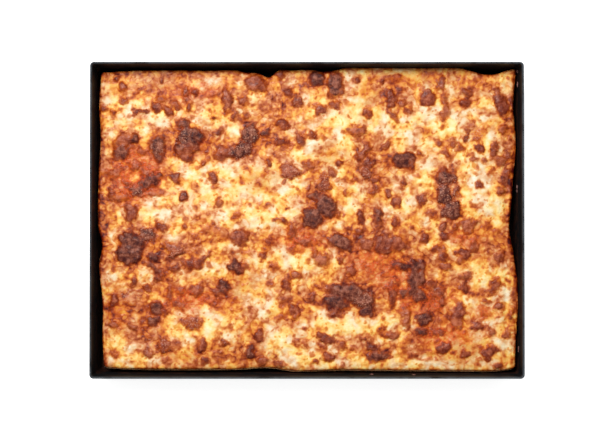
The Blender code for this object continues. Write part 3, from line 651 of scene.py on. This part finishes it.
def cheese_finish():
    """Melted cheese: cream through gold and rust to char; blisters' tops mauve-brown, partly painted sheen.

    The fields of the spots hold a depth in mm, which is 0 on an outline and positive inside.
    Noise makes the outlines ragged, and a smooth step over the depth gives how far a spot covers.
    A number called bake runs from 0 for pale cheese to 1 for char. The ground gives it first,
    with a fine web, threads and dots, and then each kind of spot carries it to its own level.
    """
    finish = Finish("browned_cheese", IOR=1.38, Specular_IOR_Level=0.3)
    fine = finish.noise(1.3 * MM, 2.0, 0.6) - 0.5
    middle = finish.noise(4.2 * MM, 1.0) - 0.5
    ragged = 3.0 * middle + 0.9 * fine
    tone = finish.field("tone")
    charred = finish.field("charred") + ragged
    brown = finish.field("brown") + ragged
    saucy = finish.field("saucy") + ragged

    web, _ = finish.cells(6.0 * MM, 5.0 * MM)
    dot, choice = finish.cells(4.8 * MM, 3.0 * MM)
    dots = (1 - finish.stretch(dot, 0.10, 0.30)) * finish.stretch(choice, 0.58, 0.64)
    ground = finish.field("bake")
    threads = 1 - finish.stretch((finish.noise(7.0 * MM, 1.0) - 0.5).size(), 0.0, 0.10)
    bake = ground + (0.22 + 0.60 * ground) * middle + 0.05 * fine + 0.15 * (web - 0.42)
    bake = bake + 0.28 * ground * (threads - 0.35)
    bake = bake.toward(DOT_BAKE + 0.40 * ground, 0.7 * dots)

    freckle = finish.stretch(finish.field("freckle") + 0.4 * ragged, -1.0, 0.9)
    bake = bake.toward(FRECKLE_BAKE + 0.40 * ground + 0.5 * middle, 0.8 * freckle)
    bake = bake.toward(SAUCY_BAKE + 0.12 * tone + 0.6 * middle + 0.3 * fine,
                       finish.stretch(saucy, -1.7, 2.0))
    bake = bake.toward(BROWN_BAKE + 0.14 * tone + 0.5 * middle + 0.4 * fine,
                       finish.stretch(brown, -1.7, 2.2))
    bake = bake.toward(CHARRED_BAKE + 0.08 * tone + 0.4 * middle + 0.4 * fine,
                       finish.stretch(charred, -2.1, 2.5))

    baked = finish.ramp(bake, [
        (0.00, seen(252, 241, 205)), (0.12, seen(250, 229, 178)), (0.26, seen(245, 208, 146)),
        (0.40, seen(232, 167, 98)), (0.54, seen(210, 123, 63)), (0.66, seen(181, 89, 41)),
        (0.78, seen(146, 61, 28)), (0.90, seen(112, 41, 18)), (1.00, seen(80, 25, 11))])
    warmth = finish.stretch(finish.noise(14 * MM, 3.0, 0.5), 0.40, 0.64)
    golden = finish.mix(1.0, baked, GOLDEN_TINT, "MULTIPLY")
    rosy = finish.mix(1.0, baked, ROSY_TINT, "MULTIPLY")
    tinted = finish.mix(0.5 + 0.5 * finish.stretch(bake, 0.05, 0.4), baked,
                        finish.mix(warmth, golden, rosy))
    yellow = finish.mix(finish.field("yellow") * 0.75, tinted, seen(255, 205, 92), "MULTIPLY")
    vein = 1 - finish.stretch((finish.noise(4.6 * MM, 2.0) - 0.5).size(), 0.0, 0.07)
    ember = finish.mix(finish.field("ember") * (0.22 + 0.55 * vein), yellow, seen(222, 88, 34))

    streaks = finish.noise(4.4 * MM, 2.0) + 0.5 * fine - 0.06 * tone
    # Blisters' tops: partly their own browned colour and partly painted sheen, paler in the light streaks
    brown_top_and_sheen = finish.ramp(streaks, [
        (0.32, seen(108, 42, 26)), (0.50, seen(152, 74, 50)), (0.68, seen(196, 115, 82))])
    charred_top_and_sheen = finish.ramp(streaks, [
        (0.32, seen(62, 25, 17)), (0.50, seen(112, 57, 42)), (0.68, seen(162, 98, 76))])
    drift = 9.0 * (finish.noise(5.0 * MM, 1.0) - 0.5)
    topped = finish.mix(0.75 * finish.stretch(brown + drift, -0.2, 2.8), ember, brown_top_and_sheen)
    charred_inside = finish.stretch(charred + 0.6 * drift, -0.4, 3.0)
    dark = finish.mix(0.9 * charred_inside, topped, charred_top_and_sheen)
    # Painted highlights: pale glint specks mixed into the colour over the glint places
    painted_glints = finish.stretch(finish.noise(1.2 * MM, 1.0), 0.56, 0.68) * finish.field("painted_glint_area")
    colour = finish.mix(painted_glints * 0.5, dark, seen(218, 158, 130))

    oily = finish.stretch(finish.noise(4.0 * MM, 2.0), 0.42, 0.62)
    risen = finish.stretch(brown, -1.4, 2.0) + finish.stretch(charred, -1.6, 2.4) + 0.4 * freckle
    relief = 0.7 * risen + 0.15 * finish.noise(1.2 * MM, 1.0) + 0.6 * finish.noise(3.4 * MM, 1.0)
    finish.bump(relief, 1.0 * MM, 0.9)
    return finish.show(Base_Color=colour, Roughness=0.52 - 0.16 * oily + 0.10 * charred_inside)


def crust_finish():
    """Baked dough: tan, paler in its pits, redder and darker low on its side and at its two ends."""
    finish = Finish("baked_crust", IOR=1.4, Specular_IOR_Level=0.3)
    mottle = finish.noise(3.0 * MM, 4.0, 0.65)
    baked = finish.ramp(finish.field("bake") + 0.5 * (mottle - 0.5), [
        (0.10, seen(236, 176, 122)), (0.35, seen(204, 132, 86)), (0.60, seen(160, 92, 58)),
        (0.85, seen(110, 56, 36)), (1.0, seen(60, 30, 20))])
    finish.bump(finish.noise(0.9 * MM, 3.0, 0.7), 0.5 * MM, 0.7)
    return finish.show(Base_Color=baked, Roughness=0.62 + 0.2 * mottle)


def tray_finish():
    """Black coating, rim grey from wear and painted highlight, inner brown film lightened as painted light.
    """
    finish = Finish("black_tray", IOR=1.45, Specular_IOR_Level=0.12)
    # Rim grey: partly wear, partly a painted highlight on the rim's top
    wear_and_highlight = finish.field("rim") * finish.stretch(finish.noise(14 * MM, 4.0, 0.7), 0.26, 0.56)
    # Brown film low inside: partly the film, partly painted light that lifts the wall's shade
    film_and_painted_light = finish.field("film_and_painted_light") * finish.stretch(finish.noise(9 * MM, 4.0, 0.6), 0.36, 0.66)
    scuffs = finish.stretch(finish.noise(6 * MM, 5.0, 0.75), 0.58, 0.75)
    coated = finish.mix(scuffs * 0.5, TRAY_COATING, TRAY_SCUFFED)
    with_film_and_painted_light = finish.mix(film_and_painted_light, coated, TRAY_FILM_AND_PAINTED_LIGHT)
    colour = finish.mix(wear_and_highlight, with_film_and_painted_light, TRAY_WEAR_AND_HIGHLIGHT)
    finish.bump(finish.noise(1.4 * MM, 3.0, 0.6), 0.1 * MM, 0.4)
    return finish.show(Base_Color=colour, Roughness=0.52 + 0.14 * scuffs - 0.06 * film_and_painted_light)


def bit_finish():
    """Dried bits of cheese on the tray's wall: mauve-brown, paler on their raised middle."""
    finish = Finish("baked_on_bit", IOR=1.45)
    grain = finish.noise(1.3 * MM, 3.0, 0.6)
    colour = finish.ramp(grain, [
        (0.30, seen(78, 42, 38)), (0.50, seen(126, 84, 78)), (0.68, seen(182, 146, 134))])
    finish.bump(grain, 0.4 * MM, 0.6)
    return finish.show(Base_Color=colour, Roughness=0.45)


def floor_finish():
    """Matt white studio floor with the faintest grain."""
    finish = Finish("studio_floor", IOR=1.3)
    grain = finish.noise(0.4, 3.0)
    colour = finish.mix(grain, (0.86, 0.86, 0.86, 1.0), (0.88, 0.88, 0.88, 1.0))
    return finish.show(Base_Color=colour, Roughness=0.9, Emission_Color=colour, Emission_Strength=FLOOR_GLOW)


def bend_inset(radius, height):
    """How far inside the rim's outline a bend's centre lies, so that it touches the outer wall."""
    lowered = TRAY_HEIGHT - height + radius * math.sin(WALL_LEAN)
    return radius * math.cos(WALL_LEAN) + lowered * math.tan(WALL_LEAN)


def arc(inset, height, radius, start, end):
    """Points of a section's arc as (inset, height): centre plus radius times (-cos, sin)."""
    angle = np.linspace(start, end, BEND_STEPS + 1)
    return np.column_stack([inset - radius * np.cos(angle), height + radius * np.sin(angle)])


def tray_section():
    """The sheet's section from the underside, up the outer wall, over the rim and down inside."""
    outer_bend = INNER_BEND + SHEET
    bend = bend_inset(outer_bend, outer_bend)
    edge = SHEET / 2
    rim_height = TRAY_HEIGHT - edge
    rim = bend_inset(edge, rim_height)
    outer = arc(bend, outer_bend, outer_bend, -math.pi / 2, -WALL_LEAN)
    over = arc(rim, rim_height, edge, -WALL_LEAN, math.pi - WALL_LEAN)
    inner = arc(bend, outer_bend, INNER_BEND, -WALL_LEAN, -math.pi / 2)
    share = np.linspace(0, 1, WALL_POINTS + 2)[1:-1, None]
    up = outer[-1] * (1 - share) + over[0] * share
    down = over[-1] * (1 - share) + inner[0] * share
    return np.vstack([outer, up, over, down, inner])


def rounded_rectangle(half_length, half_width, radius):
    """Outline of straight sides in even steps and quarter circles, anticlockwise."""
    quarter = np.linspace(0, math.pi / 2, CORNER_STEPS + 1)
    x, y = [], []
    for turn, (side_x, side_y) in enumerate([(1, 1), (-1, 1), (-1, -1), (1, -1)]):
        angle = quarter + turn * math.pi / 2
        x.append(side_x * (half_length - radius) + radius * np.cos(angle))
        y.append(side_y * (half_width - radius) + radius * np.sin(angle))
    outline = []
    for turn in range(4):
        after = (turn + 1) % 4
        outline.append(np.column_stack([x[turn], y[turn]]))
        share = np.linspace(0, 1, SIDE_STEPS + 1)[1:-1, None]
        start = np.array([x[turn][-1], y[turn][-1]])
        end = np.array([x[after][0], y[after][0]])
        outline.append(start * (1 - share) + end * share)
    return np.vstack(outline)


def make_tray():
    """The tray's section carried round a rounded rectangle that shrinks by the section's inset.

    A corner's radius shrinks by how far the section lies inside the leaning outer wall.
    """
    section = tray_section()
    rings = []
    for inset, height in section:
        leaned = (TRAY_HEIGHT - height) * math.tan(WALL_LEAN)
        corner = max(RIM_CORNER - (inset - leaned), SHARPEST_CORNER)
        outline = rounded_rectangle(TRAY_LENGTH / 2 - inset, TRAY_WIDTH / 2 - inset, corner)
        rings.append(np.column_stack([outline, np.full(len(outline), height)]))
    points, faces = loft(rings)
    inner_wall = 2 * (BEND_STEPS + 1) + WALL_POINTS
    # Points low on the inner wall that get the brown film and its painted light
    with_film_and_painted_light = np.arange(len(section)) >= inner_wall + CLEAN_POINTS
    fields = {
        "rim": ramp_between(TRAY_HEIGHT - 2.2 * MM, TRAY_HEIGHT - 0.2 * MM, points[:, 2]),
        "film_and_painted_light": np.repeat(with_film_and_painted_light, len(rings[0]))}
    shell = add_piece("tray_shell", points, faces, tray_finish(), fields)
    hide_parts("tray")


def crust_section():
    """The crust's section as (inset, height): foot, side, shoulder, rim and the bed in it."""
    floor = SHEET + REST_GAP
    bed = CRUST_RIM_WIDTH + CRUST_SHOULDER
    foot = [(CRUST_FOOT, floor), (CRUST_FOOT * 0.3, floor + CRUST_FOOT * 0.3), (0, floor + CRUST_FOOT)]
    side = [(0, height) for height in np.linspace(floor + CRUST_FOOT, CRUST_RIM - CRUST_SHOULDER, 12)[1:]]
    turn = np.linspace(0, math.pi / 2, 6)[1:]
    shoulder = [(CRUST_SHOULDER * (1 - math.cos(a)), CRUST_RIM - CRUST_SHOULDER * (1 - math.sin(a)))
                for a in turn]
    return foot + side + shoulder + [(bed - SIDE_GAP, CRUST_RIM - SIDE_GAP), (bed, CRUST_TOP)]


def make_crust():
    """The crust's section carried round the pizza's outline, bitten into by craggy noise.

    On the outside, the inset grows by the crags' depth times (0.2 + 0.8 low) (0.5 + 0.6 crags),
    where low is 1 on the lower side and fades to 0 at the rim.
    """
    u, v, _ = round_corners(*rim_walk(CRUST_STEP))
    section = crust_section()
    rings, bakes = [], []
    for inset, height in section:
        outside = 1.0 if inset < CRUST_SHOULDER and height > SHEET + CRUST_FOOT / 2 else 0.0
        x, y = food_point(u, v, inset, height)
        along = np.where(np.abs(u) * NOMINAL_HALF[1] > np.abs(v) * NOMINAL_HALF[0], y, x)
        crags = layered_noise(along, height * 3 + along * 0.2, CRAG_SIZE, seed=40, layers=4)
        low = 1 - ramp_between(CRUST_TOP - 6 * MM, CRUST_RIM - 1 * MM, height)
        bite = outside * CRAG_DEPTH * np.clip((0.2 + 0.8 * low) * (0.5 + 0.6 * crags), 0, 1.6)
        x, y = food_point(u, v, inset + bite, height)
        rings.append(np.column_stack([x, y, np.full(len(x), height)]))
        sides = ramp_between(0.985, 1.0, np.abs(u))
        bakes.append(0.12 + 0.40 * low + 0.08 * sides - 0.25 * crags)
    points, faces = loft(rings)
    fields = {"bake": np.concatenate(bakes)}
    body = add_piece("crust_body", points, faces, crust_finish(), fields)
    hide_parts("crust")


def spots(rows):
    """Rows of spots in metres and radians: x, y, half length, half width, turn."""
    full = []
    for x, y, length, *more in rows:
        width = more[0] if more else length
        turn = more[1] if len(more) > 1 else 0
        place_x = (x - VIEW_MIDDLE[0]) * PIXEL
        place_y = (VIEW_MIDDLE[1] - y) * PIXEL
        full.append((place_x, place_y, length * PIXEL / 2, width * PIXEL / 2, math.radians(turn)))
    return full


def freckles():
    """Small spots drawn at random all over the cheese, most of them small."""
    draw = np.random.default_rng(SCATTER_SEED)
    x = draw.uniform(-FRECKLE_AREA, FRECKLE_AREA, FRECKLES) * NOMINAL_HALF[0]
    y = draw.uniform(-FRECKLE_AREA, FRECKLE_AREA, FRECKLES) * NOMINAL_HALF[1]
    smallest, largest = FRECKLE_SIZE
    length = smallest + (largest - smallest) * draw.uniform(0, 1, FRECKLES) ** 2
    width = length * draw.uniform(0.5, 1.0, FRECKLES)
    turn = draw.uniform(0, math.pi, FRECKLES)
    return np.column_stack([x, y, length / 2, width / 2, turn]).tolist()


class CheeseTop:
    """The cheese's top as a grid of places, and the fields that are stamped on it.

    Spots are ovals in a gently bent plane, so that their outlines come out uneven.
    """

    def __init__(self):
        lines_u = grid_lines(NOMINAL_HALF[0], CHEESE_STEP)
        lines_v = grid_lines(NOMINAL_HALF[1], CHEESE_STEP)
        u, v, self.edge_distance = round_corners(*np.meshgrid(lines_u, lines_v))
        across = LEFT_LIP * np.clip(-u, 0, 1) ** LIP_POWER + RIGHT_LIP * np.clip(u, 0, 1) ** LIP_POWER
        along = FRONT_LIP * np.clip(-v, 0, 1) ** LIP_POWER + BACK_LIP * np.clip(v, 0, 1) ** LIP_POWER
        self.x, _ = food_point(u, v, across, CHEESE_TOP)
        _, self.y = food_point(u, v, along, CHEESE_TOP)
        self.from_sides = (1 - np.abs(u)) * NOMINAL_HALF[0]
        self.from_ends = (1 - np.abs(v)) * NOMINAL_HALF[1]
        near_edge = np.clip(1 - self.edge_distance / RAGGED_WIDTH, 0, 1)
        ragged = noise(self.x, self.y, RAGGED_LENGTH, seed=3) * RAGGED_DEPTH * near_edge
        limit_x = wall_reach(TRAY_LENGTH, CHEESE_EDGE) - LIP_CLEARANCE
        limit_y = wall_reach(TRAY_WIDTH, CHEESE_EDGE) - LIP_CLEARANCE
        ragged_x = ragged * np.sign(u) * np.abs(u) ** RAGGED_POWER
        ragged_y = ragged * np.sign(v) * np.abs(v) ** RAGGED_POWER
        self.x = np.clip(self.x + ragged_x, -limit_x, limit_x)
        self.y = np.clip(self.y + ragged_y, -limit_y, limit_y)
        self.columns = lines_u * NOMINAL_HALF[0]
        self.rows = lines_v * NOMINAL_HALF[1]
        self.bent_x = self.x + self.bend(seed=21)
        self.bent_y = self.y + self.bend(seed=23)

    def bend(self, seed):
        """How far noise shifts the plane of the spots: each bend's depth times its own noise."""
        total = 0
        for layer, (length, depth) in enumerate(BENDS):
            total = total + depth * noise(self.x, self.y, length, seed + layer)
        return total

    def window(self, x, y, reach):
        """Slices of the grid that hold every place within reach of (x, y)."""
        first_row, last_row = np.searchsorted(self.rows, [y - reach, y + reach])
        first_column, last_column = np.searchsorted(self.columns, [x - reach, x + reach])
        return slice(first_row, last_row), slice(first_column, last_column)

    def depths(self, rows):
        """For each spot its window, the depth inside its outline and its mean half size.

        The depth is the spots' reach less r, times the smaller half size. r is the distance from
        the oval's middle, with its parts along and across the oval each over their half size.
        """
        for x, y, long, wide, turn in rows:
            window = self.window(x, y, long + wide + SPOT_MARGIN)
            away_x, away_y = self.bent_x[window] - x, self.bent_y[window] - y
            along = (away_x * math.cos(turn) + away_y * math.sin(turn)) / long
            across = (away_y * math.cos(turn) - away_x * math.sin(turn)) / wide
            depth = (SPOT_REACH - np.hypot(along, across)) * min(long, wide)
            yield window, depth, math.sqrt(long * wide)

    def stamp(self, field, rows, level, soft):
        """Draws a field towards a level inside each spot, over a soft edge."""
        for window, depth, _ in self.depths(rows):
            cover = 1 / (1 + np.exp(-np.clip(depth / soft, -30, 30)))
            field[window] += (level - field[window]) * cover

    def spread(self, field, rows, gain, fade):
        """Adds a glow: gain inside a spot, gain times exp(-distance / fade) outside, the largest."""
        glow = np.zeros_like(field)
        for window, depth, _ in self.depths(rows):
            near = np.exp(np.minimum(depth, 0) / fade)
            glow[window] = np.maximum(glow[window], gain * near)
        field += glow

    def deepest(self, rows):
        """Field of the depth in mm inside the spots, the largest where they overlap."""
        field = np.full_like(self.x, -DEPTH_LIMIT)
        for window, depth, _ in self.depths(rows):
            field[window] = np.maximum(field[window], np.minimum(depth / MM, DEPTH_LIMIT))
        return field

    def tones(self, rows):
        """Field from -1 to 1 that draws each spot's own random tone over its place."""
        draw = np.random.default_rng(SCATTER_SEED + 1)
        field = np.zeros_like(self.x)
        for row in rows:
            self.stamp(field, [row], draw.uniform(-1, 1), 0.5 * MM)
        return field

    def raise_domes(self, height, rows, rise):
        """Lifts each spot into a dome.

        Its height is 2 rise times the spot's mean half size times a power of (1 - s squared),
        where s falls from 1 at the outline by the depth over that half size.
        """
        for window, depth, size in self.depths(rows):
            inside = np.clip(depth / size, 0, 1)
            dome = 2 * rise * size * (1 - (1 - inside) ** 2) ** DOME_POWER
            height[window] = np.maximum(height[window], dome)

    def paint(self):
        """The fields that the cheese's finish reads."""
        x, y = self.x, self.y
        charred, brown, saucy = spots(CHARRED), spots(BROWN), spots(SAUCY)
        zone = np.full_like(x, GROUND_BAKE)
        self.stamp(zone, spots(RUSTY), RUSTY_BAKE, soft=3.0 * MM)
        self.stamp(zone, spots(PALE), PALE_BAKE, soft=2.0 * MM)
        self.spread(zone, brown + saucy, *SPOT_GLOW)
        self.spread(zone, charred, *CHARRED_GLOW)
        bake = zone + 0.16 * layered_noise(x, y, 8 * MM, seed=5) + 0.06 * noise(x, y, 3.2 * MM, seed=9)
        streaks = layered_noise(x, y / STREAK_STRETCH, STREAK_WIDTH, seed=14)
        bake += (SIDE_BAKE + SIDE_STREAKS * streaks) * np.exp(-self.from_sides / SIDE_FADE)
        streaks = layered_noise(x / STREAK_STRETCH, y, STREAK_WIDTH, seed=17)
        bake += (END_BAKE + END_STREAKS * streaks) * np.exp(-self.from_ends / END_FADE)
        self.stamp(bake, spots(AMBER), AMBER_BAKE, soft=0.7 * MM)
        self.stamp(bake, spots(SPECKS), SPECK_BAKE, soft=0.4 * MM)
        fields = {
            "bake": bake, "charred": self.deepest(charred), "brown": self.deepest(brown),
            "saucy": self.deepest(saucy), "freckle": self.deepest(freckles()),
            "tone": self.tones(saucy + brown + charred)}
        marks = [("yellow", YELLOW, 2.5 * MM), ("ember", EMBER, 2.5 * MM), ("painted_glint_area", PAINTED_GLINT_AREAS, 0.8 * MM)]
        for name, rows, soft in marks:
            fields[name] = np.zeros_like(x)
            self.stamp(fields[name], spots(rows), 1.0, soft)
        return fields

    def height(self, dark):
        """Top of the cheese: waves, domes, curds and wrinkles less the creases.

        Over its edge the height falls from that to the lip's own along a quarter circle.
        """
        x, y = self.x, self.y
        across_x, across_y, sway_x, sway_y = WAVE_LENGTHS
        waves = np.sin(x / across_x + np.sin(y / sway_x)) + np.sin(y / across_y + np.sin(x / sway_y) + 2)
        from_crease = NOMINAL_HALF[0] - np.abs(x) - CREASE_INSET
        crease = CREASE_DEPTH * np.exp(-(from_crease / CREASE_WIDTH) ** 2)
        crease = crease * (0.6 + 0.4 * np.sin(y / across_y))
        domes = np.zeros_like(x)
        for rows, share in [(AMBER, 0.6), (PALE, 0.3), (SAUCY, 0.8), (BROWN + CHARRED, 1.0)]:
            self.raise_domes(domes, spots(rows), BLISTER_RISE * share)
        curds = CURD_HEIGHT * layered_noise(x, y, CURD_SIZE, seed=31)
        curds = curds + GRAIN_HEIGHT * noise(x, y, GRAIN_SIZE, seed=35)
        wrinkles = WRINKLE_HEIGHT * dark * (1 - 2 * np.abs(noise(x, y, WRINKLE_SIZE, seed=37)))
        level = CHEESE_TOP + WAVE_HEIGHT * waves + domes + curds + wrinkles - crease
        inward = np.clip(self.edge_distance / CHEESE_SHOULDER, 0, 1)
        return CHEESE_EDGE + (level - CHEESE_EDGE) * np.sqrt(1 - (1 - inward) ** 2)


def make_cheese():
    """The cheese's top over the grid, closed by a lip that turns down inside the crust's rim."""
    top = CheeseTop()
    fields = top.paint()
    height = top.height(ramp_between(-0.5, 1.0, np.maximum(fields["charred"], fields["brown"])))
    rows, columns = top.x.shape
    index = np.arange(rows * columns).reshape(rows, columns)
    corners = [index[:-1, :-1], index[:-1, 1:], index[1:, 1:], index[1:, :-1]]
    faces = np.stack(corners, axis=-1).reshape(-1, 4).tolist()
    rim = np.concatenate([index[0, :-1], index[:-1, -1], index[-1, :0:-1], index[:0:-1, 0]])
    rim_u, rim_v, _ = round_corners(*rim_walk(CHEESE_STEP))
    bed = CRUST_RIM_WIDTH + CRUST_SHOULDER + SIDE_GAP
    stand = CRUST_TOP + REST_GAP
    parts = [np.stack([top.x, top.y, height], axis=-1).reshape(-1, 3)]
    for level in (CRUST_RIM - LIP_TUCK, stand):
        x, y = food_point(rim_u, rim_v, bed, level)
        parts.append(np.column_stack([x, y, np.full(len(rim), level)]))
    above = rim
    for ring in range(2):
        below = rows * columns + ring * len(rim) + np.arange(len(rim))
        quads = [below, np.roll(below, -1), np.roll(above, -1), above]
        faces += np.stack(quads, axis=-1).tolist()
        above = below
    faces.append(tuple(above[::-1].tolist()))
    for name, values in fields.items():
        flat = values.ravel()
        fields[name] = np.concatenate([flat, flat[rim], flat[rim]])
    sheet = add_piece("cheese_sheet", np.vstack(parts), faces, cheese_finish(), fields)
    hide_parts("cheese")


def make_wall_bits():
    """Flat lumps on the tray's inner wall: partly sunk ovals whose radius swells by noise."""
    across = np.linspace(0, math.pi, BIT_ROWS)[:, None]
    around = (np.arange(BIT_COLUMNS) * 2 * math.pi / BIT_COLUMNS)[None, :]
    oval_along, oval_up = np.cos(around) * np.sin(across), np.sin(around) * np.sin(across)
    points, faces = [], []
    for number, (side, place, height, length, width, thickness) in enumerate(WALL_BITS):
        swell = 1 + BIT_SWELL * noise(oval_along + number * 3, oval_up, BIT_NOISE_SIZE, seed=60)
        along = (place + length / 2 * oval_along * swell) * MM
        level = (height + width / 2 * oval_up * swell) * MM
        out = thickness * (BIT_STAND + np.cos(across) / 2 * swell) * MM
        if side == "right":
            lump = [wall_reach(TRAY_LENGTH, level) - out, along, level]
        else:
            lump = [along, out - wall_reach(TRAY_WIDTH, level), level]
        first = sum(len(part) for part in points)
        points.append(np.stack(np.broadcast_arrays(*lump), axis=-1).reshape(-1, 3))
        index = first + np.arange(BIT_ROWS * BIT_COLUMNS).reshape(BIT_ROWS, BIT_COLUMNS)
        after = np.roll(index, -1, axis=1)
        quads = np.stack([index[:-1], index[1:], after[1:], after[:-1]], axis=-1).reshape(-1, 4)
        faces += quads.tolist()
    bits = add_piece("wall_bits", np.vstack(points), faces, bit_finish())
    weld(bits.data)


def make_floor():
    """Pale square floor under the tray, which isn't part of the object."""
    half = FLOOR_SIZE / 2
    corners = [(-half, -half, 0), (half, -half, 0), (half, half, 0), (-half, half, 0)]
    mesh = bpy.data.meshes.new("floor")
    mesh.from_pydata(corners, [], [(0, 1, 2, 3)])
    mesh.materials.append(floor_finish())
    floor = bpy.data.objects.new("floor", mesh)
    bpy.context.collection.objects.link(floor)


def light_studio():
    """Even white surroundings, and one large soft lamp above and a little behind the tray."""
    world = bpy.data.worlds.new("studio")
    world.use_nodes = True
    background = world.node_tree.nodes["Background"]
    background.inputs["Color"].default_value = (1.0, 1.0, 1.0, 1.0)
    background.inputs["Strength"].default_value = SKY_LIGHT
    bpy.context.scene.world = world
    lamp = bpy.data.lights.new("softbox", "AREA")
    lamp.shape = "RECTANGLE"
    lamp.size, lamp.size_y = LAMP_SIZE
    lamp.energy = LAMP_POWER
    softbox = bpy.data.objects.new("softbox", lamp)
    softbox.location = LAMP_PLACE
    toward = -softbox.location
    softbox.rotation_euler = toward.to_track_quat("-Z", "Y").to_euler()
    bpy.context.collection.objects.link(softbox)
    bpy.context.scene.view_settings.view_transform = "Standard"


def place_camera():
    """Camera almost straight above the rim's middle, tilted by its small angle."""
    camera = bpy.data.cameras.new("overhead")
    camera.lens = LENS
    camera.sensor_width = SENSOR
    overhead = bpy.data.objects.new("overhead", camera)
    back = CAMERA_HEIGHT * math.sin(CAMERA_TILT)
    up = CAMERA_HEIGHT * math.cos(CAMERA_TILT)
    overhead.location = (0, -back, TRAY_HEIGHT + up)
    overhead.rotation_euler = (CAMERA_TILT, 0, 0)
    bpy.context.collection.objects.link(overhead)
    bpy.context.scene.camera = overhead


def main():
    """Makes the pieces, the floor, the light and the camera."""
    make_tray()
    make_crust()
    make_cheese()
    make_wall_bits()
    make_floor()
    light_studio()
    place_camera()


main()
